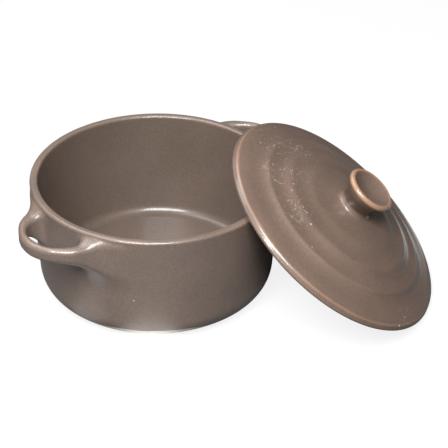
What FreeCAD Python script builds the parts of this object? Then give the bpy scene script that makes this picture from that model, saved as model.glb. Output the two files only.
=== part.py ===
import FreeCAD, Part
import math
import os

# A small lidded ramekin in glazed stoneware, in millimetres.
# The pot stands on its foot ring at the origin, with its loop handles along X.
# The lid is off: its lower edge stands on the floor and it leans on the pot's rim.

# pot
RIM_RADIUS = 50.0
POT_HEIGHT = 49.1
WALL = 3.3
RIM_ROUND = 1.1
WALL_DRAFT = 2.4
CORNER_HEIGHT = 8.1
CORNER_REACH = 6.6
FOOT_HEIGHT = 1.7
FOOT_SETBACK = 0.6
FOOT_WIDTH = 3.6
FOOT_RECESS = 1.0
FLOOR_THICKNESS = 3.7
INNER_DRAFT = 4.4
INNER_CORNER = 3.7

# loop handles: a rounded bar between two plan curves, fuller where it grows out of the wall
HANDLE_REACH = 16.0
HANDLE_WIDTH = 5.6
HANDLE_THICKNESS = 6.0
HANDLE_DROP = 3.5
HANDLE_SQUARENESS = 3.4
SHOULDER_REACH = 11.0
SHOULDER_BREADTH = 11.2
ROOT_OUTER_HALF = 25.4
ROOT_INNER_HALF = 9.5
ROOT_RISE = 2.0
ROOT_SWELL = 7.0
ROOT_BLEND = 1.6

# lid
LID_OVERHANG = 1.3
LID_EDGE = 2.85
LID_EDGE_ROUND = 0.9
LID_EDGE_CORNER = 0.7
LID_EDGE_TAPER = 25.0
LID_EDGE_SLOPE = 0.45
LID_WALL = 3.4
SHOULDER_WIDTH = 4.0
SHOULDER_HEIGHT = 4.45
TREAD_SLOPES = (0.2, 0.12, 0.08)
CREST_RADII = (38.5, 29.6, 20.1)
CREST_HEIGHTS = (7.3, 10.1, 11.8)
CROWN_RADIUS = 10.8
CROWN_HEIGHT = 12.6
RING_CLEARANCE = 1.2
RING_WIDTH = 2.2
RING_DEPTH = 3.0
RING_ROUND = 0.6

# knob
KNOB_RADIUS = 10.35
KNOB_HEIGHT = 24.4
KNOB_RIM = 2.3
KNOB_DISH = 2.6
KNOB_WAIST_RADIUS = 6.4
KNOB_WAIST_HEIGHT = 16.9

# how the lid leans
LEAN_ANGLE = 37.8
LEAN_DIRECTION = -55.0
LEAN_OFFSET = 3.9
LEAN_GAP = 0.2

Z = FreeCAD.Vector(0, 0, 1)
ORIGIN = FreeCAD.Vector(0, 0, 0)


def at(radius, height):
    return FreeCAD.Vector(radius, 0, height)


def line(a, b):
    return Part.makeLine(at(*a), at(*b))


def arc(a, middle, b):
    return Part.Arc(at(*a), at(*middle), at(*b)).toShape()


def curve(*poles):
    bezier = Part.BezierCurve()
    bezier.setPoles([at(*pole) for pole in poles])
    return bezier.toShape()


def rounding(centre, radius, start, end):
    # arc about a centre, from one direction to another, in degrees
    turn = [math.radians(start + share * (end - start)) for share in (0, 0.5, 1)]
    points = [(centre[0] + radius * math.cos(t), centre[1] + radius * math.sin(t)) for t in turn]
    return arc(*points)


def ends(edge):
    # radius and height of an edge's two ends
    points = (edge.valueAt(edge.FirstParameter), edge.valueAt(edge.LastParameter))
    return [(point.x, point.z) for point in points]


def turned(edges):
    face = Part.Face(Part.Wire(edges))
    return face.revolve(ORIGIN, Z, 360)


# wall lines that the bowl, its hollow and the handles share
half_wall = WALL / 2
rim_centre = (RIM_RADIUS - RIM_ROUND, POT_HEIGHT - RIM_ROUND)
corner_top = FOOT_HEIGHT + CORNER_HEIGHT
corner_radius = RIM_RADIUS - WALL_DRAFT
base_radius = corner_radius - CORNER_REACH
foot_radius = base_radius - FOOT_SETBACK
draft_slope = WALL_DRAFT / (rim_centre[1] - corner_top)


def wall_radius(height):
    return RIM_RADIUS - draft_slope * (rim_centre[1] - height)


def bowl():
    # one turned section: recessed base, foot ring, round corner, tapered wall, softened rim,
    # and back down the inside, where the wall thickens towards the flat floor
    foot_inner = foot_radius - FOOT_WIDTH
    floor = FOOT_RECESS + FLOOR_THICKNESS
    inner_top = floor + INNER_CORNER
    rim_inner = RIM_RADIUS - WALL
    inner_radius = rim_inner - INNER_DRAFT
    floor_radius = inner_radius - INNER_CORNER
    inner_slope = INNER_DRAFT / (rim_centre[1] - inner_top)
    outer_pull = 0.55 * CORNER_HEIGHT
    inner_pull = 0.55 * INNER_CORNER
    return turned([
        line((0, FOOT_RECESS), (foot_inner, FOOT_RECESS)),
        line((foot_inner, FOOT_RECESS), (foot_inner, 0)),
        line((foot_inner, 0), (foot_radius, 0)),
        line((foot_radius, 0), (foot_radius, FOOT_HEIGHT)),
        line((foot_radius, FOOT_HEIGHT), (base_radius, FOOT_HEIGHT)),
        curve(
            (base_radius, FOOT_HEIGHT),
            (base_radius + 0.55 * CORNER_REACH, FOOT_HEIGHT),
            (corner_radius - draft_slope * outer_pull, corner_top - outer_pull),
            (corner_radius, corner_top),
        ),
        line((corner_radius, corner_top), (RIM_RADIUS, rim_centre[1])),
        rounding(rim_centre, RIM_ROUND, 0, 90),
        line((rim_centre[0], POT_HEIGHT), (rim_inner + RIM_ROUND, POT_HEIGHT)),
        rounding((rim_inner + RIM_ROUND, rim_centre[1]), RIM_ROUND, 90, 180),
        line((rim_inner, rim_centre[1]), (inner_radius, inner_top)),
        curve(
            (inner_radius, inner_top),
            (inner_radius - inner_slope * inner_pull, inner_top - inner_pull),
            (floor_radius + inner_pull, floor),
            (floor_radius, floor),
        ),
        line((floor_radius, floor), (0, floor)),
        line((0, floor), (0, FOOT_RECESS)),
    ])


def plan_point(share, poles):
    # point of a plan curve: share 0 is the tip of the handle and 1 its end inside the wall
    rest = 1 - share
    weights = (rest ** 3, 3 * rest ** 2 * share, 3 * rest * share ** 2, share ** 3)
    return [sum(weight * pole[axis] for weight, pole in zip(weights, poles)) for axis in (0, 1)]


def root_end(half):
    # point at mid wall, this far from the middle of the handle
    return (math.sqrt((RIM_RADIUS - half_wall) ** 2 - half ** 2), half)


def bar_section(share):
    # rounded section that spans from the outer to the inner plan curve
    tip = RIM_RADIUS + HANDLE_REACH
    shoulder = RIM_RADIUS + SHOULDER_REACH
    outer = plan_point(share, [
        (tip, 0),
        (tip, SHOULDER_BREADTH + WALL / 3),
        (shoulder, SHOULDER_BREADTH - WALL / 2),
        root_end(ROOT_OUTER_HALF),
    ])
    inner = plan_point(share, [
        (tip - HANDLE_WIDTH, 0),
        (tip - HANDLE_WIDTH, SHOULDER_BREADTH / 2),
        (shoulder - HANDLE_WIDTH + WALL / 2, SHOULDER_BREADTH * 1.5),
        root_end(ROOT_INNER_HALF),
    ])
    middle = [(a + b) / 2 for a, b in zip(outer, inner)]
    reach = [(a - b) / 2 for a, b in zip(outer, inner)]
    growth = share ** 4
    top = POT_HEIGHT - HANDLE_DROP + ROOT_RISE * growth
    low = POT_HEIGHT - HANDLE_DROP - HANDLE_THICKNESS - ROOT_SWELL * growth
    points = []
    for step in range(16):
        turn = 2 * math.pi * step / 16
        wide = math.copysign(abs(math.cos(turn)) ** (2 / HANDLE_SQUARENESS), math.cos(turn))
        high = math.copysign(abs(math.sin(turn)) ** (2 / HANDLE_SQUARENESS), math.sin(turn))
        points.append(FreeCAD.Vector(
            middle[0] + reach[0] * wide,
            middle[1] + reach[1] * wide,
            (top + low) / 2 + (top - low) / 2 * high,
        ))
    outline = Part.BSplineCurve()
    outline.interpolate(points, True)
    return Part.Wire(outline.toShape())


def loop_handle():
    # half of the bar is one smooth skin over its sections, and the other half mirrors it
    half = Part.makeLoft([bar_section(step / 5) for step in range(6)], True, False)
    bar = half.fuse(half.mirror(ORIGIN, FreeCAD.Vector(0, 1, 0)))
    # both ends stop halfway into the wall
    low = POT_HEIGHT - HANDLE_DROP - HANDLE_THICKNESS - ROOT_SWELL
    core = Part.makeCylinder(wall_radius(low) - half_wall, 2 * POT_HEIGHT)
    return bar.cut(core)


def meets_wall(edge):
    # true for an edge that lies on the outside of the wall, below the rounded rim
    return all(
        abs(math.hypot(point.x, point.y) - wall_radius(point.z)) < WALL / 50
        and CORNER_HEIGHT < point.z < rim_centre[1] - ROOT_BLEND / 100
        for point in edge.discretize(7)
    )


def pot():
    # bowl and handles are cast as one, and glaze pools softly where they meet
    handle = loop_handle()
    opposite = handle.copy()
    opposite.rotate(ORIGIN, Z, 180)
    body = bowl().fuse([handle, opposite])
    return body.makeFillet(ROOT_BLEND, [edge for edge in body.Edges if meets_wall(edge)])


# outline of the lid, from the middle of its underside round to the top of the knob
lid_radius = RIM_RADIUS + LID_OVERHANG
ring_outer = RIM_RADIUS - WALL - RING_CLEARANCE
ring_inner = ring_outer - RING_WIDTH
underside_top = CROWN_HEIGHT - LID_WALL


def underside():
    shoulder = SHOULDER_HEIGHT - LID_WALL * 0.6
    inner = ring_inner + RING_ROUND
    outer = ring_outer - RING_ROUND
    return [
        arc((0, underside_top),
            (0.6 * ring_inner, underside_top * 0.7 + shoulder * 0.3),
            (ring_inner, shoulder)),
        line((ring_inner, shoulder), (ring_inner, RING_ROUND - RING_DEPTH)),
        rounding((inner, RING_ROUND - RING_DEPTH), RING_ROUND, 180, 270),
        line((inner, -RING_DEPTH), (outer, -RING_DEPTH)),
        rounding((outer, RING_ROUND - RING_DEPTH), RING_ROUND, -90, 0),
        line((ring_outer, RING_ROUND - RING_DEPTH), (ring_outer, 0)),
        line((ring_outer, 0), (lid_radius - LID_EDGE_ROUND, 0)),
    ]


def edge_band():
    # rounded foot of the edge, a band that leans in, and a tight corner up to the face
    taper = math.radians(LID_EDGE_TAPER)
    rise = math.atan(LID_EDGE_SLOPE)
    foot = rounding((lid_radius - LID_EDGE_ROUND, LID_EDGE_ROUND), LID_EDGE_ROUND, -90, LID_EDGE_TAPER)
    low = ends(foot)[1]
    band = (LID_EDGE - low[1]) / math.cos(taper)
    corner = (low[0] - band * math.sin(taper), LID_EDGE)
    before = (corner[0] + LID_EDGE_CORNER * math.sin(taper), corner[1] - LID_EDGE_CORNER * math.cos(taper))
    after = (corner[0] - LID_EDGE_CORNER * math.cos(rise), corner[1] + LID_EDGE_CORNER * math.sin(rise))
    return [foot, line(low, before), curve(before, corner, after)]


def terraces(here):
    # the edge rolls onto a shoulder, then each tread runs on and sweeps up to a crest at its end
    shoulder = (lid_radius - LID_EDGE_CORNER - LID_EDGE_ROUND - SHOULDER_WIDTH, SHOULDER_HEIGHT)
    reach = (here[0] - shoulder[0]) / 3
    edges = [curve(
        here,
        (here[0] - reach, here[1] + LID_EDGE_SLOPE * reach),
        (shoulder[0] + reach, shoulder[1] - TREAD_SLOPES[0] * reach),
        shoulder,
    )]
    here = shoulder
    for radius, height, slope in zip(CREST_RADII, CREST_HEIGHTS, TREAD_SLOPES):
        run = (here[0] - radius) / 4
        tread = [(here[0] - step * run, here[1] + step * run * slope) for step in range(4)]
        edges.append(curve(*tread, (radius, height)))
        here = (radius, height)
    edges.append(line(here, (CROWN_RADIUS, CROWN_HEIGHT)))
    return edges


def knob():
    # waisted stem, a rounded rim and a dish on top
    half_rim = KNOB_RIM / 2
    centre = (KNOB_RADIUS - half_rim, KNOB_HEIGHT - half_rim)
    rim = rounding(centre, half_rim, -40, 120)
    under, lip = ends(rim)
    pull = (KNOB_HEIGHT - KNOB_WAIST_HEIGHT) / 4
    fillet = KNOB_WAIST_HEIGHT - CROWN_HEIGHT
    waist = (KNOB_WAIST_RADIUS, KNOB_WAIST_HEIGHT)
    dish = KNOB_HEIGHT - KNOB_DISH
    return [
        curve(
            (CROWN_RADIUS, CROWN_HEIGHT),
            (CROWN_RADIUS - 0.6 * fillet, CROWN_HEIGHT + 0.1 * fillet),
            (KNOB_WAIST_RADIUS, KNOB_WAIST_HEIGHT - 0.6 * fillet),
            waist,
        ),
        curve(
            waist,
            (KNOB_WAIST_RADIUS, KNOB_WAIST_HEIGHT + pull),
            (under[0] - pull * math.sin(math.radians(40)), under[1] - pull * math.cos(math.radians(40))),
            under,
        ),
        rim,
        curve(
            lip,
            (lip[0] - pull * math.cos(math.radians(30)), lip[1] - pull * math.sin(math.radians(30))),
            (lip[0] / 2, dish),
            (0, dish),
        ),
        line((0, dish), (0, underside_top)),
    ]


def lid():
    edge = edge_band()
    return turned(underside() + edge + terraces(ends(edge[-1])[1]) + knob())


# the lid's seat: distances from the pot's rim to the lid's underside, in the lid's own section
def to_segment(point, a, b):
    run = (b[0] - a[0], b[1] - a[1])
    share = ((point[0] - a[0]) * run[0] + (point[1] - a[1]) * run[1]) / (run[0] ** 2 + run[1] ** 2)
    share = min(1, max(0, share))
    return math.hypot(point[0] - a[0] - share * run[0], point[1] - a[1] - share * run[1])


def section_of_underside():
    points = []
    for edge in underside():
        span = edge.LastParameter - edge.FirstParameter
        for part in range(9):
            point = edge.valueAt(edge.FirstParameter + part / 8 * span)
            points.append((point.x, point.z))
    return points


def standing_height(angle):
    # height of the lid's own base plane at its middle, with the lower edge on the floor
    bead = lid_radius - LID_EDGE_ROUND
    edge = bead * math.sin(angle) - LID_EDGE_ROUND * math.cos(angle) + LID_EDGE_ROUND
    ring = ring_outer * math.sin(angle) + RING_DEPTH * math.cos(angle)
    return max(edge, ring - RING_ROUND * (math.sin(angle) + math.cos(angle) - 1))


def rim_gap(distance, angle, height, section):
    # least distance between the round of the pot's rim and the lid, the lid leaning along X
    nearest = RIM_RADIUS
    for step in range(-60, 61):
        turn = math.radians(step)
        along = rim_centre[0] * math.cos(turn) - distance
        side = rim_centre[0] * math.sin(turn) - LEAN_OFFSET
        up = rim_centre[1] - height
        slope = along * math.cos(angle) - up * math.sin(angle)
        rise = along * math.sin(angle) + up * math.cos(angle)
        point = (math.hypot(slope, side), rise)
        for a, b in zip(section, section[1:]):
            if a != b:
                nearest = min(nearest, to_segment(point, a, b))
    return nearest - RIM_ROUND


def leaning(solid):
    # the lid slides in towards the pot until its locating ring rests on the rim
    angle = math.radians(LEAN_ANGLE)
    height = standing_height(angle)
    section = section_of_underside()
    far = 2 * RIM_RADIUS + lid_radius
    step = RIM_RADIUS / 50
    while rim_gap(far, angle, height, section) > LEAN_GAP + step:
        far -= step
    near = far - 2 * step
    for halving in range(20):
        middle = (far + near) / 2
        if rim_gap(middle, angle, height, section) > LEAN_GAP:
            far = middle
        else:
            near = middle
    turn = FreeCAD.Rotation(FreeCAD.Vector(0, 1, 0), LEAN_ANGLE)
    aim = FreeCAD.Rotation(Z, LEAN_DIRECTION)
    place = aim.multVec(FreeCAD.Vector(far, LEAN_OFFSET, height))
    leant = solid.copy()
    leant.Placement = FreeCAD.Placement(place, aim.multiply(turn))
    return leant


os.makedirs("parts", exist_ok=True)
pieces = {"pot": pot(), "lid": leaning(lid())}
for name, solid in pieces.items():
    solid.exportStep(os.path.join("parts", name + ".step"))
    box = solid.optimalBoundingBox(True, False)
    print(name, solid.isValid(), round(solid.Volume), [round(v, 2) for v in (
        box.XMin, box.YMin, box.ZMin, box.XMax, box.YMax, box.ZMax)])
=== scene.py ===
import math

import bmesh
import bpy
import numpy as np
from mathutils import Matrix, Vector


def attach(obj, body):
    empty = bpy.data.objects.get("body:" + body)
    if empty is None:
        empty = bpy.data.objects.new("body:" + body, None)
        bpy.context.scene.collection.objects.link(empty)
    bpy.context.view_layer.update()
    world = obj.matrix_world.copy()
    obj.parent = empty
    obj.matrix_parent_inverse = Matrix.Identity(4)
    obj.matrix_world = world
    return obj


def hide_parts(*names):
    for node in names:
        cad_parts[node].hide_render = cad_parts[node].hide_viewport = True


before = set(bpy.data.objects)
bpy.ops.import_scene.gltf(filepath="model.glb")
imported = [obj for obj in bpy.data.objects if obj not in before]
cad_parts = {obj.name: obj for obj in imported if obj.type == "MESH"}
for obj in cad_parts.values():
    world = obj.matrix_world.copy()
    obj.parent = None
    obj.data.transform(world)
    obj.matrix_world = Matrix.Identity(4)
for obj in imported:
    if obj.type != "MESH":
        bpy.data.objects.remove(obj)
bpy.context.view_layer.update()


# Pot
# A round straight-walled dish with two loop handles, slip-cast in stoneware clay in one piece.
# The handles melt into the wall, the rim is a full round bead, and the pot stands on a foot
# ring that is wiped clean of glaze before firing. Lengths are in millimetres.

MM = 0.001
RIM_RADIUS = 50.0
POT_HEIGHT = 49.1
WALL = 3.3
RIM_ROUND = 1.1
WALL_DRAFT = 2.4
CORNER_REACH = 6.6
CORNER_HEIGHT = 8.1
CORNER_PULL = (0.53, 0.55)
FOOT_HEIGHT = 1.7
FOOT_SETBACK = 0.5
FOOT_WIDTH = 3.6
FOOT_ROUND = 0.4
FOOT_RECESS = 1.0
FLOOR_TOP = 4.7
INNER_DRAFT = 4.4
INNER_CORNER = 3.7
INNER_PULL = 0.55
PAST_AXIS = -15

HANDLE_OUTER = ((65.1, 0), (64.4, 4.6), (62.9, 8.2), (60.6, 11.5), (58.3, 14.2), (55.4, 16.3),
                (52.0, 17.8), (48.6, 19.4), (45.0, 21.9), (41.0, 25.5))
HOLE_NEAR = ((61.2, 0), (60.8, 4.3), (59.4, 7.4), (57.3, 9.5), (54.7, 11.5), (51.8, 12.8),
             (44.0, 13.2))
HOLE_FAR = ((61.2, 0), (60.9, 4.5), (59.6, 7.8), (57.2, 10.4), (54.6, 11.6), (51.0, 11.9),
            (44.0, 12.0))
HANDLE_TOP = 45.6
HANDLE_THICKNESS = 6.0
HANDLE_ROUND = 1.9
# towards the wall the handle rises on top and swells below, up to a depth inside the rim's radius
ROOT_RISE = 2.2
RISE_LENGTH = 4.5
RISE_DEPTH = 0.3
ROOT_SWELL = 8.2
SWELL_LENGTH = 12.0
SWELL_DEPTH = 1.5
# the melt of handle and wall fades out under the bead of the rim
ROOT_BLEND = 7.0
BLEND_TOP = 0.4
BLEND_LEAST = 0.2
BLEND_FADE = 1.8
# the handle stops at the middle of the wall, which leans in as it goes down
WALL_MIDDLE = 1.4
WALL_LEAN = 0.063
STOP_SHARPNESS = 3
# a node this close outside the surface counts as clay, so that none lies on it
TIE = 1e-4


def pull_curve(*poles, steps=24):
    # a smooth curve from the first pole to the last, drawn towards the poles between them
    share = np.linspace(0, 1, steps)[:, None]
    points = [np.array(pole, float) for pole in poles]
    while len(points) > 1:
        points = [a * (1 - share) + b * share for a, b in zip(points, points[1:])]
    return points[0]


def round_corner(centre, radius, start, end, steps=16):
    turn = np.radians(np.linspace(start, end, steps))
    return np.stack([centre[0] + radius * np.cos(turn), centre[1] + radius * np.sin(turn)], 1)


def bowl_outline():
    # section of the bowl, carried past the axis so that the middle of the floor stays flat
    lip = (RIM_RADIUS - RIM_ROUND, POT_HEIGHT - RIM_ROUND)
    rim_inner = RIM_RADIUS - WALL
    slope = WALL_DRAFT / (lip[1] - FOOT_HEIGHT - CORNER_HEIGHT)
    corner = (RIM_RADIUS - WALL_DRAFT, FOOT_HEIGHT + CORNER_HEIGHT)
    low_pull, high_pull = CORNER_PULL[0] * CORNER_REACH, CORNER_PULL[1] * CORNER_HEIGHT
    base = (corner[0] - CORNER_REACH, FOOT_HEIGHT)
    foot = base[0] - FOOT_SETBACK
    inner = (rim_inner - INNER_DRAFT, FLOOR_TOP + INNER_CORNER)
    inner_slope = INNER_DRAFT / (lip[1] - inner[1])
    pull = INNER_PULL * INNER_CORNER
    floor = (inner[0] - INNER_CORNER, FLOOR_TOP)
    return np.concatenate([
        [(PAST_AXIS, FOOT_RECESS), (foot - FOOT_WIDTH, FOOT_RECESS)],
        round_corner((foot - FOOT_WIDTH + FOOT_ROUND, FOOT_ROUND), FOOT_ROUND, 180, 270, 6),
        round_corner((foot - FOOT_ROUND, FOOT_ROUND), FOOT_ROUND, -90, 0, 6),
        [(foot, FOOT_HEIGHT - 0.1), (foot + 0.05, FOOT_HEIGHT)],
        pull_curve(base, (base[0] + low_pull, base[1]),
                   (corner[0] - high_pull * slope, corner[1] - high_pull), corner),
        round_corner(lip, RIM_ROUND, 0, 90),
        round_corner((rim_inner + RIM_ROUND, lip[1]), RIM_ROUND, 90, 180),
        pull_curve(inner, (inner[0] - pull * inner_slope, inner[1] - pull),
                   (floor[0] + pull, FLOOR_TOP), floor),
        [(PAST_AXIS, FLOOR_TOP)],
    ])


def line_through(points, steps=8):
    # a smooth line that passes through every point
    points = np.array(points, float)
    first, last = 2 * points[0] - points[1], 2 * points[-1] - points[-2]
    more = np.concatenate([[first], points, [last]])
    t = np.linspace(0, 1, steps, endpoint=False)[:, None]
    parts = [(2 * b + (c - a) * t + (2 * a - 5 * b + 4 * c - d) * t ** 2
              + (3 * b - a - 3 * c + d) * t ** 3) / 2
             for a, b, c, d in zip(more, more[1:], more[2:], more[3:])]
    return np.concatenate(parts + [points[-1:]])


def handle_outline():
    # plan of one handle: outer edge from end to end, then back along the finger hole, whose
    # two ends were cut a little differently
    mirror = np.array([1, -1])
    outer, near, far = (np.array(side, float) for side in (HANDLE_OUTER, HOLE_NEAR, HOLE_FAR))
    return np.concatenate([line_through(np.concatenate([outer[:0:-1] * mirror, outer])),
                           line_through(np.concatenate([near[::-1], far[1:] * mirror]))])


def distance_map(outline, low, high, pitch=0.12):
    # signed distance to a closed outline on a square grid, negative inside
    u = np.arange(low[0], high[0], pitch)
    v = np.arange(low[1], high[1], pitch)
    grid = np.stack(np.meshgrid(u, v, indexing="ij"), -1).reshape(-1, 2)
    nearest = np.full(len(grid), 1e9)
    crossings = np.zeros(len(grid), bool)
    for a, b in zip(outline, np.roll(outline, -1, 0)):
        run = b - a
        share = np.clip((grid - a) @ run / max(run @ run, 1e-12), 0, 1)
        nearest = np.minimum(nearest, ((grid - a - share[:, None] * run) ** 2).sum(1))
        spans = (a[1] > grid[:, 1]) != (b[1] > grid[:, 1])
        if a[1] != b[1]:
            crossings ^= spans & (grid[:, 0] < a[0] + (grid[:, 1] - a[1]) * run[0] / run[1])
    signed = np.sqrt(nearest) * np.where(crossings, -1, 1)
    return signed.reshape(len(u), len(v)), low, pitch


def read_map(chart, u, v):
    # the map's distance at any place, in between its grid's points too
    values, low, pitch = chart
    u = np.clip((u - low[0]) / pitch, 0, values.shape[0] - 1.001)
    v = np.clip((v - low[1]) / pitch, 0, values.shape[1] - 1.001)
    i, j = u.astype(int), v.astype(int)
    u, v = u - i, v - j
    near = values[i, j] * (1 - v) + values[i, j + 1] * v
    far = values[i + 1, j] * (1 - v) + values[i + 1, j + 1] * v
    return near * (1 - u) + far * u


bowl_chart = distance_map(bowl_outline(), (0, -3), (70, 53))
handle_chart = distance_map(handle_outline(), (36, -40), (70, 40))


def clay(points):
    # distance from the surface of the cast clay, negative inside
    x, y, z = points.T
    radius = np.hypot(x, y)
    bowl = read_map(bowl_chart, radius, z)
    plan = read_map(handle_chart, np.abs(x), y * np.sign(x))
    clear = radius - RIM_RADIUS
    rise = np.maximum(1 - np.maximum(clear, -RISE_DEPTH) / RISE_LENGTH, 0) ** 2
    swell = np.maximum(1 - np.maximum(clear, -SWELL_DEPTH) / SWELL_LENGTH, 0) ** 2
    top = HANDLE_TOP + ROOT_RISE * rise
    low = HANDLE_TOP - HANDLE_THICKNESS - ROOT_SWELL * swell
    level = np.abs(z - (top + low) / 2) - (top - low) / 2
    across, upright = plan + HANDLE_ROUND, level + HANDLE_ROUND
    handle = np.hypot(np.maximum(across, 0), np.maximum(upright, 0)) - HANDLE_ROUND
    handle += np.minimum(np.maximum(across, upright), 0)
    middle = RIM_RADIUS - WALL_MIDDLE - WALL_LEAN * (POT_HEIGHT - z)
    handle = np.maximum(handle, STOP_SHARPNESS * (middle - radius))
    under_rim = np.maximum(POT_HEIGHT - BLEND_TOP - z, BLEND_LEAST)
    blend = ROOT_BLEND * (1 - np.exp(-(under_rim / BLEND_FADE) ** 2))
    melt = np.clip(1 - np.abs(bowl - handle) / blend, 0, 1)
    return np.minimum(bowl, handle) - melt ** 3 * blend / 6


def slope_of(points, step=0.05):
    # the way out of the clay at each point
    axes = np.eye(3) * step
    return np.stack([clay(points + axis) - clay(points - axis) for axis in axes], 1) / (2 * step)


def cast_skin(turns=360):
    # one skin over bowl and handles: a vertex in every cell of a round grid that the surface
    # crosses, settled onto it, and a face round every grid edge that passes through it. The
    # grid is finer at the rim and the handles, and none of its levels lies on a flat of theirs.
    radii = np.concatenate([np.arange(0, 30, 3), np.arange(30, 44, 1.0),
                            np.arange(44, 50.6, 0.42), np.arange(50.6, 68, 0.75)])
    heights = np.concatenate([np.arange(-0.6, 2.6, 0.4), np.arange(2.6, 36, 0.95),
                              np.arange(36.25, 46.6, 0.6), np.arange(46.6, 50, 0.4)])
    angles = 2 * np.pi * np.arange(turns) / turns
    angle, radius, height = np.meshgrid(angles, radii, heights, indexing="ij")
    nodes = np.stack([radius * np.cos(angle), radius * np.sin(angle), height], -1)
    solid = clay(nodes.reshape(-1, 3)).reshape(angle.shape) < TIE
    corners = [np.roll(solid, -a, 0)[:, b:len(radii) - 1 + b, c:len(heights) - 1 + c]
               for a in (0, 1) for b in (0, 1) for c in (0, 1)]
    filled = sum(corner.astype(int) for corner in corners)
    crossed = (filled > 0) & (filled < 8)
    number = np.full(crossed.shape, -1)
    number[crossed] = np.arange(crossed.sum())
    i, j, k = np.nonzero(crossed)
    middle_turn = angles[i] + np.pi / turns
    middle_radius = np.where(j == 0, 0, (radii[j] + radii[j + 1]) / 2)
    points = np.stack([middle_radius * np.cos(middle_turn), middle_radius * np.sin(middle_turn),
                       (heights[k] + heights[k + 1]) / 2], 1)
    for settling in range(6):
        way = slope_of(points)
        points -= way * (clay(points) / np.maximum((way ** 2).sum(1), 0.2))[:, None]

    faces = []

    def add_faces(lower, upper, ring):
        i, j, k = np.nonzero(lower != upper)
        keep = (j > 0) & (k > 0)
        i, j, k = i[keep], j[keep], k[keep]
        quad = np.stack([number[(i + a) % turns, j + b, k + c] for a, b, c in ring], 1)
        outward = lower[i, j, k]
        quad[~outward] = quad[~outward][:, ::-1]
        faces.append(quad[(quad >= 0).all(1)])

    inner = solid[:, :-1, :-1]
    add_faces(inner, solid[:, :-1, 1:], [(-1, -1, 0), (-1, 0, 0), (0, 0, 0), (0, -1, 0)])
    add_faces(inner, solid[:, 1:, :-1], [(-1, 0, -1), (0, 0, -1), (0, 0, 0), (-1, 0, 0)])
    add_faces(inner, np.roll(solid, -1, 0)[:, :-1, :-1],
              [(0, -1, -1), (0, -1, 0), (0, 0, 0), (0, 0, -1)])
    return points, np.concatenate(faces)


def curvature_of(points, step=0.8):
    # how sharply the clay bulges at each point, in 1/mm
    axes = np.eye(3) * step
    around = sum(clay(points + axis) + clay(points - axis) for axis in axes)
    return (around - 6 * clay(points)) / step ** 2


points, faces = cast_skin()
pot_mesh = bpy.data.meshes.new("pot")
pot_mesh.from_pydata((points * MM).tolist(), [], faces.tolist())

# the glaze starts to thin at this bend, in 1/mm, and on the pot it never breaks fully
THIN_FROM = 0.2
THIN_RANGE = 1.6
THIN_MOST = 0.3
thinned = np.clip((curvature_of(points) - THIN_FROM) / THIN_RANGE, 0, THIN_MOST)
thin_and_shade = pot_mesh.attributes.new("thin_glaze_and_shade", "FLOAT", "POINT")
thin_and_shade.data.foreach_set("value", thinned.astype(np.float32))

# painted shade: the inner walls and floor of the pot are marked to be mixed towards dark brown
INNER_SHADE_RADIUS = 47.4
INNER_SHADE_EDGE = 0.8
FACES_OUT = 0.3
spread = np.hypot(points[:, 0], points[:, 1])
outward = (slope_of(points)[:, :2] * points[:, :2]).sum(1) / np.maximum(spread, 1)
inner_shade = np.clip((INNER_SHADE_RADIUS - spread) / INNER_SHADE_EDGE, 0, 1)
inner_shade = inner_shade * (outward < FACES_OUT) * (points[:, 2] > FLOOR_TOP - 1)
inside = pot_mesh.attributes.new("painted_inner_shade", "FLOAT", "POINT")
inside.data.foreach_set("value", inner_shade.astype(np.float32))
pot = bpy.data.objects.new("cast_pot", pot_mesh)
bpy.context.collection.objects.link(pot)


def close_seams(mesh):
    # closes the seam and the poles, and turns every face outwards
    work = bmesh.new()
    work.from_mesh(mesh)
    bmesh.ops.remove_doubles(work, verts=work.verts, dist=1e-6)
    bmesh.ops.recalc_face_normals(work, faces=work.faces)
    for face in work.faces:
        face.smooth = True
    work.to_mesh(mesh)
    work.free()


close_seams(pot_mesh)


def hex_colour(code):
    # sRGB hex to the linear values that Blender's sockets hold
    channels = [int(code[i:i + 2], 16) / 255 for i in (1, 3, 5)]
    return [c / 12.92 if c <= 0.04045 else ((c + 0.055) / 1.055) ** 2.4 for c in channels] + [1.0]


def add(tree, kind, settings=None, inputs=None):
    # one node, with its settings, and with a value or another node's output on each input, which
    # goes by its name, or by its number where several have the same name
    node = tree.nodes.new(kind)
    for name, value in (settings or {}).items():
        setattr(node, name, value)
    for socket, value in (inputs or {}).items():
        if isinstance(value, bpy.types.NodeSocket):
            tree.links.new(value, node.inputs[socket])
        else:
            node.inputs[socket].default_value = value
    return node


def new_finish(name):
    material = bpy.data.materials.new(name)
    material.use_nodes = True
    material.node_tree.nodes.clear()
    return material, material.node_tree


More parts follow.
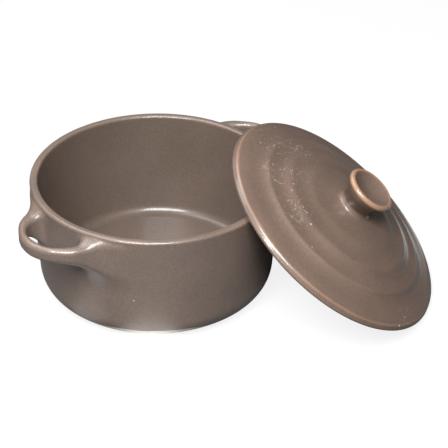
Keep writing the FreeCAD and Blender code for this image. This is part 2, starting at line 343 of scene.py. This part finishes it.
def taupe_glaze(name, seed, dark, light, gloss, gloss_roughness, place=None):
    # Satin stoneware glaze: taupe where it lies thick, and it breaks to a warm tan where it
    # runs thin over a rim or a ridge. Iron in the clay gives it a fine even grain.
    material, tree = new_finish(name)
    own = add(tree, "ShaderNodeTexCoord").outputs["Object"]
    if place is not None:
        location, rotation, scale = place.decompose()
        own = add(tree, "ShaderNodeMapping", {"vector_type": "TEXTURE"},
                  {"Vector": own, "Location": location,
                   "Rotation": rotation.to_euler()}).outputs[0]
    thin_and_shade = add(tree, "ShaderNodeAttribute", {"attribute_name": "thin_glaze_and_shade"}).outputs["Fac"]
    # clouds 20 mm across, grain 0.45 mm across: iron grains are finer, drawn as coarse as shows
    cloud = add(tree, "ShaderNodeTexNoise", {"noise_dimensions": "4D"},
                {"Vector": own, "W": seed, "Scale": 1 / 0.020, "Detail": 3.0}).outputs["Fac"]
    grain = add(tree, "ShaderNodeTexNoise", {"noise_dimensions": "4D"},
                {"Vector": own, "W": seed, "Scale": 1 / 0.00045, "Detail": 2.0}).outputs["Fac"]
    body = add(tree, "ShaderNodeValToRGB", inputs={"Fac": grain})
    for stop, place_on_ramp, code in zip(body.color_ramp.elements, (0.30, 0.72), (dark, light)):
        stop.position = place_on_ramp
        stop.color = hex_colour(code)
    clouded = add(tree, "ShaderNodeMix", {"data_type": "RGBA", "blend_type": "MULTIPLY"},
                  {"Factor": 0.35, "A": body.outputs["Color"], "B": cloud}).outputs["Result"]
    # it breaks to tan above a thinness of 0.36, pushed about by the clouds. Where the value is
    # below zero, on the knob's stem, it turns dark brown: painted shade under the knob's rim
    uneven = add(tree, "ShaderNodeMath", {"operation": "MULTIPLY_ADD"},
                 {0: cloud, 1: 0.5, 2: thin_and_shade}).outputs[0]
    breaking = add(tree, "ShaderNodeMapRange", {"interpolation_type": "SMOOTHSTEP"},
                   {"Value": uneven, "From Min": 0.36, "From Max": 1.25, "To Max": 0.8})
    broken = add(tree, "ShaderNodeMix", {"data_type": "RGBA"},
                 {"Factor": breaking.outputs[0], "A": clouded, "B": hex_colour("#ae876b")})
    stem_shade = add(tree, "ShaderNodeMapRange",
                  inputs={"Value": thin_and_shade, "From Min": 0.0, "From Max": -0.5, "To Max": 0.95})
    colour = add(tree, "ShaderNodeMix", {"data_type": "RGBA"},
                 {"Factor": stem_shade.outputs[0], "A": broken.outputs["Result"],
                  "B": hex_colour("#3e2d24")}).outputs["Result"]
    # a faint orange peel, 1.2 mm across and a few microns deep
    peel = add(tree, "ShaderNodeTexNoise",
               inputs={"Vector": own, "Scale": 1 / 0.0012, "Detail": 2.0}).outputs["Fac"]
    bump = add(tree, "ShaderNodeBump",
               inputs={"Height": peel, "Strength": 0.12, "Distance": 0.0002})
    satin = add(tree, "ShaderNodeMapRange",
                inputs={"Value": cloud, "To Min": 0.40, "To Max": 0.52})
    shader = add(tree, "ShaderNodeBsdfPrincipled",
                 inputs={"Base Color": colour, "Roughness": satin.outputs[0],
                         "IOR": 1.52, "Coat Weight": gloss, "Coat Roughness": gloss_roughness,
                         "Normal": bump.outputs[0]})
    add(tree, "ShaderNodeOutputMaterial", inputs={"Surface": shader.outputs[0]})
    return material, tree, own, colour, shader


def lay_over(tree, shader, colour, factor, code):
    # a second colour over the glaze, where the factor is 1
    over = add(tree, "ShaderNodeMix", {"data_type": "RGBA"},
               {"Factor": factor, "A": colour, "B": hex_colour(code)}).outputs["Result"]
    tree.links.new(over, shader.inputs["Base Color"])
    return over


def soft_spot(tree, place, centre, full, none, strength=1.0):
    # strength inside the full radius, nothing beyond the other
    away = add(tree, "ShaderNodeVectorMath", {"operation": "DISTANCE"},
               {0: place, 1: centre}).outputs["Value"]
    return add(tree, "ShaderNodeMapRange", {"interpolation_type": "SMOOTHSTEP"},
               {"Value": away, "From Min": full, "From Max": none,
                "To Min": strength, "To Max": 0.0}).outputs[0]


pot_glaze, tree, own, colour, shader = taupe_glaze(
    "satin taupe stoneware glaze, pot", 1.0, "#6f6056", "#88776d", 0.65, 0.17)

# The underside is wiped bare before firing. The glaze ends in a wavy line 3 to 4 mm up, and up
# to 2.4 mm higher at the front left. The line goes by height alone, so where it is above the
# floor of the pot, a patch of that floor is bare as well. From here on lengths are in metres.
WIPED_LINE = 0.0030
WIPED_WAVE = 0.0010
wiped_higher = soft_spot(tree, own, (-0.033, -0.034, 0.003), 0.010, 0.036, 0.0024)
wave = add(tree, "ShaderNodeTexNoise",
           inputs={"Vector": own, "Scale": 1 / 0.009, "Detail": 1.0}).outputs["Fac"]
waved = add(tree, "ShaderNodeMath", {"operation": "MULTIPLY_ADD"},
            {0: wave, 1: WIPED_WAVE, 2: wiped_higher}).outputs[0]
line = add(tree, "ShaderNodeMath", {"operation": "ADD"}, {0: waved, 1: WIPED_LINE}).outputs[0]
height = add(tree, "ShaderNodeSeparateXYZ", inputs={"Vector": own}).outputs["Z"]
below = add(tree, "ShaderNodeMath", {"operation": "SUBTRACT"}, {0: line, 1: height}).outputs[0]
bare = add(tree, "ShaderNodeMapRange", {"interpolation_type": "SMOOTHSTEP"},
           {"Value": below, "From Min": 0.0, "From Max": 0.0004}).outputs[0]
colour = lay_over(tree, shader, colour, bare, "#e6dccf")
# painted shade inside the pot: up to 40 % of the way to dark brown
inside = add(tree, "ShaderNodeAttribute", {"attribute_name": "painted_inner_shade"}).outputs["Fac"]
inner_shade_mix = add(tree, "ShaderNodeMapRange", inputs={"Value": inside, "To Max": 0.4}).outputs[0]
colour = lay_over(tree, shader, colour, inner_shade_mix, "#43372e")
# one pale pinhole in the glaze on the front of the wall
pinhole = soft_spot(tree, own, (-0.0384, -0.0290, 0.0212), 0.0002, 0.0005, 0.7)
colour = lay_over(tree, shader, colour, pinhole, "#ddd5cd")
pot_mesh.materials.append(pot_glaze)
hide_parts("pot")
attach(pot, "root")


# Lid
# A shallow dome with three soft terraces and a dished knob, jigger-moulded in the same clay and
# dipped in the same glaze. It leans off the pot: its edge is on the table and its locating
# ring is by the pot's rim, a quarter of a millimetre clear. Lengths are in millimetres.

LID_RADIUS = 51.28
LID_EDGE_ROUND = 0.9
LID_EDGE = 2.85
LID_EDGE_CORNER = 0.7
LID_EDGE_TAPER = 25.0
LID_EDGE_SLOPE = 0.45
LID_SHOULDER = (45.7, 4.45)
CRESTS = ((38.5, 7.3), (29.6, 10.1), (20.1, 11.8))
TREAD_SLOPES = (0.2, 0.12, 0.08)
TREAD_SWEEP = 4
CREST_SOFTNESS = ((9.0, 1.0), (20.0, 1.3), (29.6, 0.9), (36.0, 0.4), (46.0, 0.4))
CROWN = (9.0, 12.8)
FACE_STEP = 0.2
FACE_MARGIN = 25
RING_OUTER = 45.5
RING_WIDTH = 2.2
RING_DEPTH = 3.0
RING_ROUND = 0.6
RING_FILLET = 0.4
UNDERSIDE_TOP = 9.2
UNDERSIDE_SHOULDER = 2.4
KNOB_RADIUS = 10.35
KNOB_HEIGHT = 24.4
KNOB_RIM = 1.16
KNOB_RIM_TURN = (-40, 120)
KNOB_DISH = 2.6
KNOB_FOOT = 2.3
KNOB_WAIST = (6.8, 16.9)
LEAN_ANGLE = 37.8
LEAN_DIRECTION = -55.0
LEAN_PLACE = (71.30, 3.9, 31.08)


def straight(a, b, steps):
    t = np.linspace(0, 1, steps, endpoint=False)[:, None]
    return np.array(a) * (1 - t) + np.array(b) * t


def lid_face():
    # the face from its outer shoulder inwards: each tread runs on and sweeps up to a crest at
    # its end. The moulded crests are soft, the inner ones more than the outer.
    here, parts = LID_SHOULDER, []
    for crest, slope in zip(CRESTS, TREAD_SLOPES):
        share = np.linspace(0, 1, 40, endpoint=False)
        run = here[0] - crest[0]
        sweep = crest[1] - here[1] - slope * run
        parts.append(np.stack([here[0] - share * run,
                               here[1] + slope * run * share + sweep * share ** TREAD_SWEEP], 1))
        here = crest
    rough = np.concatenate(parts + [[here, CROWN]])
    radii = np.arange(LID_SHOULDER[0], CROWN[0], -FACE_STEP)
    margin = np.arange(1, FACE_MARGIN + 1) * FACE_STEP
    wide = np.concatenate([radii[0] + margin[::-1], radii, radii[-1] - margin])
    heights = np.interp(-wide, -rough[:, 0], rough[:, 1])
    heights[:FACE_MARGIN] -= TREAD_SLOPES[0] * margin[::-1]
    heights[-FACE_MARGIN:] += (CROWN[1] - here[1]) / (here[0] - CROWN[0]) * margin
    spread = np.interp(radii, *zip(*CREST_SOFTNESS))[:, None]
    weight = np.exp(-((radii[:, None] - wide[None]) / spread) ** 2 / 2)
    return np.stack([radii, weight @ heights / weight.sum(1)], 1)


def lid_section():
    # outline from the middle of the underside, round the edge and up to the dish of the knob
    ring_inner = RING_OUTER - RING_WIDTH
    ring_low = RING_ROUND - RING_DEPTH
    foot = (LID_RADIUS - LID_EDGE_ROUND, LID_EDGE_ROUND)
    lean, rise = math.radians(LID_EDGE_TAPER), math.atan(LID_EDGE_SLOPE)
    low = (foot[0] + LID_EDGE_ROUND * math.cos(lean), foot[1] + LID_EDGE_ROUND * math.sin(lean))
    corner = (low[0] - (LID_EDGE - low[1]) * math.tan(lean), LID_EDGE)
    before = (corner[0] + LID_EDGE_CORNER * math.sin(lean),
              LID_EDGE - LID_EDGE_CORNER * math.cos(lean))
    after = (corner[0] - LID_EDGE_CORNER * math.cos(rise),
             LID_EDGE + LID_EDGE_CORNER * math.sin(rise))
    reach = (after[0] - LID_SHOULDER[0]) / 3
    rim = (KNOB_RADIUS - KNOB_RIM, KNOB_HEIGHT - KNOB_RIM)
    dish = KNOB_HEIGHT - KNOB_DISH
    flare, lip = ((rim[0] + KNOB_RIM * math.cos(math.radians(turn)),
                   rim[1] + KNOB_RIM * math.sin(math.radians(turn))) for turn in KNOB_RIM_TURN)
    face = lid_face()
    crown = face[-1]
    return np.concatenate([
        pull_curve((0, UNDERSIDE_TOP), (0.35 * ring_inner, UNDERSIDE_TOP),
                   (0.72 * ring_inner, UNDERSIDE_TOP - 2.6),
                   (ring_inner, UNDERSIDE_SHOULDER), steps=30),
        straight((ring_inner, UNDERSIDE_SHOULDER - 0.2), (ring_inner, ring_low), 5),
        round_corner((ring_inner + RING_ROUND, ring_low), RING_ROUND, 180, 270, 6),
        round_corner((RING_OUTER - RING_ROUND, ring_low), RING_ROUND, -90, 0, 6),
        straight((RING_OUTER, ring_low + 0.3), (RING_OUTER, -RING_FILLET), 4),
        round_corner((RING_OUTER + RING_FILLET, -RING_FILLET), RING_FILLET, 180, 90, 5),
        straight((RING_OUTER + 0.9, 0), (foot[0] - 0.3, 0), 4),
        round_corner(foot, LID_EDGE_ROUND, -90, LID_EDGE_TAPER, 12)[:-1],
        straight(low, before, 5),
        pull_curve(before, corner, after, steps=14)[:-1],
        pull_curve(after, (after[0] - reach, after[1] + LID_EDGE_SLOPE * reach),
                   (LID_SHOULDER[0] + reach, LID_SHOULDER[1] - TREAD_SLOPES[0] * reach),
                   LID_SHOULDER, steps=20)[:-1],
        face[:-1],
        pull_curve(crown, (crown[0] - 1.9, crown[1] + 0.2),
                   (KNOB_WAIST[0] + 0.1, crown[1] + 0.4),
                   (KNOB_WAIST[0], crown[1] + KNOB_FOOT), steps=20)[:-1],
        pull_curve((KNOB_WAIST[0], crown[1] + KNOB_FOOT),
                   (KNOB_WAIST[0] - 0.1, KNOB_WAIST[1] - 0.5),
                   (KNOB_WAIST[0], KNOB_WAIST[1] + 1.8),
                   (flare[0] - 1.0, flare[1] - 1.3), flare, steps=24)[:-1],
        round_corner(rim, KNOB_RIM, *KNOB_RIM_TURN, 18)[:-1],
        pull_curve(lip, (lip[0] - 1.9, lip[1] - 1.1), (3.5, dish), (0, dish), steps=26),
    ])


def bulge_along(line, reach=0.8):
    # convex bend of a section at each point, in 1/mm, felt over a short reach each way
    length = np.concatenate([[0], np.cumsum(np.hypot(*np.diff(line, axis=0).T))])

    def at(where):
        return np.stack([np.interp(where, length, line[:, axis]) for axis in (0, 1)], 1)

    before, after = at(length - reach), at(length + reach)
    run_in, run_out = line - before, after - line
    turn = run_in[:, 0] * run_out[:, 1] - run_in[:, 1] * run_out[:, 0]
    size = np.hypot(*run_in.T) * np.hypot(*run_out.T)
    return np.arcsin(np.clip(turn / np.maximum(size, 1e-9), -1, 1)) / reach


CREST_FELT = 2.0
EDGE_THINNING = 0.42
CREST_THINNING = 0.55
DISH_THINNING = 0.3
STEM_SHADE = 5


def lid_thinness_and_shade(line):
    # the glaze thins most on the knob's rim, less round the edge and only faintly on the crests.
    # On the knob's stem the value goes below zero, which is painted shade under the knob's rim
    radius, height = line.T
    on_knob = (height > CROWN[1] + 1) & (radius < KNOB_RADIUS + 1)
    on_edge = radius > LID_SHOULDER[0] + 1
    in_dish = (height > KNOB_HEIGHT - KNOB_DISH - 0.1) & (radius < KNOB_RADIUS - KNOB_RIM)
    bulge = np.where(on_knob | on_edge, bulge_along(line), bulge_along(line, CREST_FELT))
    on_side = np.where(height > LID_EDGE / 2, EDGE_THINNING, 0)
    share = np.where(on_edge, on_side, CREST_THINNING)
    thinned = np.where(on_knob, (bulge - 0.24) / 0.45, share * (bulge - 0.02) / 0.4)
    thinned = np.clip(thinned, np.where(in_dish, DISH_THINNING, 0), 1)
    # painted shade on the stem below the knob's rim, darkest where the stem curves in most
    on_stem = np.clip((height - CROWN[1] - 1.6) / 1.6, 0, 1) * on_knob
    return thinned + on_stem * np.clip(STEM_SHADE * bulge, -1, 0)


section = lid_section()
section_mesh = bpy.data.meshes.new("lid section")
section_mesh.from_pydata([(r * MM, 0, h * MM) for r, h in section],
                         [(i, i + 1) for i in range(len(section) - 1)], [])
thin_and_shade = section_mesh.attributes.new("thin_glaze_and_shade", "FLOAT", "POINT")
thin_and_shade.data.foreach_set("value", lid_thinness_and_shade(section).astype(np.float32))
lid = bpy.data.objects.new("moulded_lid", section_mesh)
bpy.context.collection.objects.link(lid)

# turning: the section's points are carried round the axis, and the glaze's thinness and the painted
# stem shade with them
turning = bpy.data.node_groups.new("turned on a wheel", "GeometryNodeTree")
for label, kind in (("Section", "NodeSocketGeometry"), ("Turns", "NodeSocketInt"),
                    ("Waviness", "NodeSocketFloat"), ("Finish", "NodeSocketMaterial")):
    turning.interface.new_socket(label, in_out="INPUT", socket_type=kind)
turning.interface.new_socket("Turned", in_out="OUTPUT", socket_type="NodeSocketGeometry")
given = add(turning, "NodeGroupInput").outputs
count = add(turning, "GeometryNodeAttributeDomainSize",
            inputs={"Geometry": given["Section"]}).outputs["Point Count"]
seam = add(turning, "FunctionNodeIntegerMath", {"operation": "ADD"}, {0: given["Turns"], 1: 1})
sheet = add(turning, "GeometryNodeMeshGrid",
            inputs={"Vertices X": seam.outputs[0], "Vertices Y": count,
                    "Size X": 1.0, "Size Y": 1.0})
# each point of the sheet: its place along the section, and its angle round the axis
index = add(turning, "GeometryNodeInputIndex").outputs[0]
along = add(turning, "FunctionNodeIntegerMath", {"operation": "MODULO"},
            {0: index, 1: count}).outputs[0]
strip = add(turning, "FunctionNodeIntegerMath", {"operation": "DIVIDE_FLOOR"},
            {0: index, 1: count}).outputs[0]
whole_turns = add(turning, "ShaderNodeMath", {"operation": "MULTIPLY"},
                  {0: strip, 1: 2 * math.pi}).outputs[0]
angle = add(turning, "ShaderNodeMath", {"operation": "DIVIDE"},
            {0: whole_turns, 1: given["Turns"]}).outputs[0]
place = add(turning, "GeometryNodeInputPosition").outputs[0]
spot = add(turning, "GeometryNodeSampleIndex", {"data_type": "FLOAT_VECTOR", "domain": "POINT"},
           {"Geometry": given["Section"], "Value": place, "Index": along}).outputs[0]
thin_and_shade_value = add(turning, "GeometryNodeInputNamedAttribute", {"data_type": "FLOAT"},
               {"Name": "thin_glaze_and_shade"}).outputs[0]
thin_and_shade_here = add(turning, "GeometryNodeSampleIndex", {"data_type": "FLOAT", "domain": "POINT"},
                {"Geometry": given["Section"], "Value": thin_and_shade_value, "Index": along}).outputs[0]
parts = add(turning, "ShaderNodeSeparateXYZ", inputs={"Vector": spot}).outputs
forward_share = add(turning, "ShaderNodeMath", {"operation": "COSINE"}, {0: angle}).outputs[0]
sideways_share = add(turning, "ShaderNodeMath", {"operation": "SINE"}, {0: angle}).outputs[0]
forward_run = add(turning, "ShaderNodeMath", {"operation": "MULTIPLY"},
                  {0: parts["X"], 1: forward_share}).outputs[0]
sideways_run = add(turning, "ShaderNodeMath", {"operation": "MULTIPLY"},
                   {0: parts["X"], 1: sideways_share}).outputs[0]
turned = add(turning, "ShaderNodeCombineXYZ",
             inputs={"X": forward_run, "Y": sideways_run, "Z": parts["Z"]}).outputs[0]
# clay sags a little on the mould, in waves about 30 mm long
noise = add(turning, "ShaderNodeTexNoise",
            inputs={"Vector": turned, "Scale": 1 / 0.030, "Detail": 1.0}).outputs["Fac"]
lower = add(turning, "ShaderNodeMath", {"operation": "SUBTRACT"}, {0: noise, 1: 0.75}).outputs[0]
sag = add(turning, "ShaderNodeMath", {"operation": "MULTIPLY"},
          {0: lower, 1: given["Waviness"]}).outputs[0]
sagged = add(turning, "ShaderNodeCombineXYZ", inputs={"Z": sag}).outputs[0]
moved = add(turning, "GeometryNodeSetPosition",
            inputs={"Geometry": sheet.outputs["Mesh"], "Position": turned, "Offset": sagged})
marked = add(turning, "GeometryNodeStoreNamedAttribute",
             {"data_type": "FLOAT", "domain": "POINT"},
             {"Geometry": moved.outputs[0], "Name": "thin_glaze_and_shade", "Value": thin_and_shade_here})
closed = add(turning, "GeometryNodeMergeByDistance",
             inputs={"Geometry": marked.outputs[0], "Distance": 1e-6})
single = add(turning, "GeometryNodeRealizeInstances", inputs={"Geometry": closed.outputs[0]})
finished = add(turning, "GeometryNodeSetMaterial",
               inputs={"Geometry": single.outputs[0], "Material": given["Finish"]})
add(turning, "NodeGroupOutput", inputs={"Turned": finished.outputs[0]})

lean = (Matrix.Rotation(math.radians(LEAN_DIRECTION), 4, "Z")
        @ Matrix.Translation(Vector(LEAN_PLACE) * MM)
        @ Matrix.Rotation(math.radians(LEAN_ANGLE), 4, "Y"))
lid_glaze, tree, own, colour, shader = taupe_glaze(
    "satin taupe stoneware glaze, lid", 4.0, "#6f5c51", "#877164", 0.8, 0.145, lean)

# Wear on the face: white specks and fine curved scratches in patches, most of them up and left
# of the knob, and single specks at their places. The last and strongest speck, on the lid's edge,
# is a painted glint on a chip there. All are read on the lid's own flat plan, in mm.
# A patch is its centre and the radii where it is full and gone, a speck its place and strength.
PATCHES = ((-30, -6, 7, 13), (-37, 12, 7, 15), (-21, -22, 5, 11), (-28, 17, 4, 12), (40, -28, 3, 8))
SPECKS_AND_GLINT = ((-43.1, 7.8, 0.45), (-38.8, 26.9, 0.3), (-38.0, 8.8, 0.4), (-36.4, -4.4, 0.4),
          (-23.1, 15.6, 0.35), (-26.5, -10.8, 0.35), (-26.4, -14.8, 0.35), (-20.1, -20.5, 0.4),
          (-17.8, -22.2, 0.45), (-22.5, -27.9, 0.4), (-14.8, -26.3, 0.55), (-10.7, -35.5, 0.35),
          (37.3, -33.9, 0.9))
SPECK_RADII = (0.15, 0.5)
SCATTER = 2.6
SCATTER_CHANCE = 0.7
SCRATCH_BENDS = ((7.0, 2.0), (4.5, 9.0))
SCRATCH_CHANCE = 0.52
WEAR_STRENGTH = 0.3


def strongest(tree, factors):
    # at each place the highest of several factors
    highest = factors[0]
    for factor in factors[1:]:
        highest = add(tree, "ShaderNodeMath", {"operation": "MAXIMUM"},
                      {0: highest, 1: factor}).outputs[0]
    return highest


plan = add(tree, "ShaderNodeVectorMath", {"operation": "MULTIPLY"},
           {0: own, 1: (1 / MM, 1 / MM, 0)}).outputs[0]
cells = add(tree, "ShaderNodeTexVoronoi", {"voronoi_dimensions": "2D"},
            {"Vector": plan, "Scale": 1 / SCATTER})
chance = add(tree, "ShaderNodeSeparateColor", inputs={"Color": cells.outputs["Color"]}).outputs[0]
speck = add(tree, "ShaderNodeMapRange",
            inputs={"Value": cells.outputs["Distance"], "From Min": 0.05, "From Max": 0.11,
                    "To Min": WEAR_STRENGTH, "To Max": 0.0}).outputs[0]
chosen = add(tree, "ShaderNodeMath", {"operation": "GREATER_THAN"},
             {0: chance, 1: SCATTER_CHANCE}).outputs[0]
marks = [add(tree, "ShaderNodeMath", {"operation": "MULTIPLY"}, {0: speck, 1: chosen}).outputs[0]]
# a scratch follows a line along which a noise keeps one value, and a second noise cuts it short
for bend, seed in SCRATCH_BENDS:
    wander = add(tree, "ShaderNodeTexNoise", {"noise_dimensions": "4D"},
                 {"Vector": plan, "W": seed, "Scale": 1 / bend, "Detail": 0.5}).outputs["Fac"]
    stretch = add(tree, "ShaderNodeTexNoise", {"noise_dimensions": "4D"},
                  {"Vector": plan, "W": seed + 3, "Scale": 1 / 3.0, "Detail": 1.0}).outputs["Fac"]
    aside = add(tree, "ShaderNodeMath", {"operation": "SUBTRACT"}, {0: wander, 1: 0.5}).outputs[0]
    from_line = add(tree, "ShaderNodeMath", {"operation": "ABSOLUTE"}, {0: aside}).outputs[0]
    width = 7 / bend
    scratch = add(tree, "ShaderNodeMapRange",
                  inputs={"Value": from_line, "From Min": 0.002 * width, "From Max": 0.007 * width,
                          "To Min": WEAR_STRENGTH, "To Max": 0.0}).outputs[0]
    here = add(tree, "ShaderNodeMath", {"operation": "GREATER_THAN"},
               {0: stretch, 1: SCRATCH_CHANCE}).outputs[0]
    marks.append(add(tree, "ShaderNodeMath", {"operation": "MULTIPLY"},
                     {0: scratch, 1: here}).outputs[0])
patch = strongest(tree, [soft_spot(tree, plan, (x, y, 0), full, none)
                         for x, y, full, none in PATCHES])
in_patches = add(tree, "ShaderNodeMath", {"operation": "MULTIPLY"},
                 {0: strongest(tree, marks), 1: patch}).outputs[0]
specks_and_glint = [soft_spot(tree, plan, (x, y, 0), *SPECK_RADII, strength)
                 for x, y, strength in SPECKS_AND_GLINT]
# the wear, and the painted glint on the chip at the lid's edge, laid over in a pale colour
wear_and_glint = strongest(tree, [in_patches] + specks_and_glint)
colour = lay_over(tree, shader, colour, wear_and_glint, "#ddd5cd")
# a small chip on the knob's rim shows darker
chip = soft_spot(tree, own, (-0.0016, -0.0088, 0.0242), 0.0002, 0.0006, 0.8)
colour = lay_over(tree, shader, colour, chip, "#4a3326")


def make_plain(obj, group, settings):
    # the tree's result becomes the object's own mesh, and the modifier goes
    modifier = obj.modifiers.new(group.name, "NODES")
    modifier.node_group = group
    for item in group.interface.items_tree:
        if item.name in settings:
            modifier[item.identifier] = settings[item.name]
    bpy.context.view_layer.update()
    made = obj.evaluated_get(bpy.context.evaluated_depsgraph_get())
    mesh = bpy.data.meshes.new_from_object(made)
    obj.modifiers.remove(modifier)
    obj.data = mesh


make_plain(lid, turning, {"Turns": 256, "Waviness": 0.06 * MM, "Finish": lid_glaze})
lid.data.transform(lean)
close_seams(lid.data)
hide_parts("lid")
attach(lid, "root")


# Table, light and camera
# A white sheet under the pot and a white room. The main soft box is close by at the front left,
# where it gives the wall its falloff and the knob its shadow. A larger, weaker one hangs behind
# and above, and lights the lid, the rim and the tops of the handles.

SHEET_CORNERS = ((-0.3, -0.33, 0), (0.34, -0.33, 0), (0.34, 0.3, 0), (-0.3, 0.3, 0))
# parts of the sheet: centre, the radii where it is full and gone, and how bright it glows in the
# glaze's reflections only, which are painted reflections. One lies in front of the foot, one
# under the near handle, one beyond the lid. The one in front of the foot is also whiter.
FRONT_PART = ((-0.036, -0.035, 0), 0.006, 0.017)
FRONT_REFLECTION_GLOW = 0.5
REFLECTION_GLOW_PARTS = (((-0.056, -0.006, 0), 0.006, 0.015, 0.6), ((0.130, -0.055, 0), 0.010, 0.034, 0.65))
SHEET_GREY = 0.13
FRONT_WHITE = 0.75
SHEET_TO_CAMERA = 0.85
ROOM_LIGHT = 0.01
ROOM_MIRRORED = 0.07
SCENE_MIDDLE = (0.02, -0.02, 0.03)
CAMERA_PLACE = (-365.757, -404.640, 380.018)
CAMERA_RIGHT = (0.7114789, -0.70264185, 0.00960275)
CAMERA_DOWN = (-0.37753994, -0.39374238, -0.83811129)
CAMERA_FORWARD = (0.59267307, 0.59267307, -0.54541476)

sheet_mesh = bpy.data.meshes.new("white table")
sheet_mesh.from_pydata(SHEET_CORNERS, [], [(0, 1, 2, 3)])
table = bpy.data.objects.new("white_table", sheet_mesh)
bpy.context.collection.objects.link(table)
# white paper: the camera sees it white, and its shadow shows in the rest of its light
paper, tree = new_finish("white paper")
rays = add(tree, "ShaderNodeLightPath").outputs
place = add(tree, "ShaderNodeTexCoord").outputs["Object"]
in_front = soft_spot(tree, place, *FRONT_PART)
white = add(tree, "ShaderNodeMapRange",
            inputs={"Value": in_front, "To Min": SHEET_GREY, "To Max": FRONT_WHITE}).outputs[0]
diffuse = add(tree, "ShaderNodeBsdfDiffuse", inputs={"Color": white})
# painted reflections: these parts glow for glossy rays only, so the glaze shows them as bright
# reflections
front_reflection_glow = add(tree, "ShaderNodeMath", {"operation": "MULTIPLY"},
                 {0: in_front, 1: FRONT_REFLECTION_GLOW}).outputs[0]
reflection_glows = [front_reflection_glow] + [soft_spot(tree, place, *part) for part in REFLECTION_GLOW_PARTS]
painted_reflection = add(tree, "ShaderNodeMath", {"operation": "MULTIPLY"},
               {0: strongest(tree, reflection_glows), 1: rays["Is Glossy Ray"]}).outputs[0]
strength = add(tree, "ShaderNodeMath", {"operation": "MULTIPLY_ADD"},
               {0: rays["Is Camera Ray"], 1: SHEET_TO_CAMERA, 2: painted_reflection}).outputs[0]
lift = add(tree, "ShaderNodeEmission", inputs={"Color": (1, 1, 1, 1), "Strength": strength})
both = add(tree, "ShaderNodeAddShader", inputs={0: diffuse.outputs[0], 1: lift.outputs[0]})
add(tree, "ShaderNodeOutputMaterial", inputs={"Surface": both.outputs[0]})
sheet_mesh.materials.append(paper)

world = bpy.data.worlds.new("studio")
bpy.context.scene.world = world
world.use_nodes = True
tree = world.node_tree
tree.nodes.clear()
rays = add(tree, "ShaderNodeLightPath").outputs
direct = strongest(tree, (rays["Is Camera Ray"], rays["Is Transmission Ray"]))
level = add(tree, "ShaderNodeMapRange",
            inputs={"Value": direct, "To Min": ROOM_LIGHT, "To Max": 1.0}).outputs[0]
glossy = add(tree, "ShaderNodeMath", {"operation": "MULTIPLY"},
             {0: rays["Is Glossy Ray"], 1: ROOM_MIRRORED}).outputs[0]
backdrop = add(tree, "ShaderNodeBackground",
               inputs={"Color": (1, 1, 1, 1), "Strength": strongest(tree, (level, glossy))})
add(tree, "ShaderNodeOutputWorld", inputs={"Surface": backdrop.outputs[0]})


def soft_box(name, place, size, watts):
    light = bpy.data.lights.new(name, "AREA")
    light.shape = "RECTANGLE"
    light.size, light.size_y = size
    light.energy = watts
    lamp = bpy.data.objects.new(name, light)
    lamp.location = place
    towards = Vector(SCENE_MIDDLE) - Vector(place)
    lamp.rotation_euler = towards.to_track_quat("-Z", "Y").to_euler()
    bpy.context.collection.objects.link(lamp)


soft_box("overhead soft box", (-0.10, 0.50, 1.0), (0.9, 0.7), 7.5)
soft_box("main soft box", (-0.349, -0.263, 0.55), (0.45, 0.28), 8.8)

camera_data = bpy.data.cameras.new("camera")
camera_data.sensor_width = 36.0
camera_data.lens = 128.57
camera_data.clip_start = 0.01
camera = bpy.data.objects.new("camera", camera_data)
right, down, forward = Vector(CAMERA_RIGHT), Vector(CAMERA_DOWN), Vector(CAMERA_FORWARD)
turn = Matrix((right, -down, -forward)).transposed()
camera.matrix_world = Matrix.Translation(Vector(CAMERA_PLACE) * MM) @ turn.to_4x4()
bpy.context.collection.objects.link(camera)
bpy.context.scene.camera = camera
bpy.context.scene.view_settings.view_transform = "Standard"
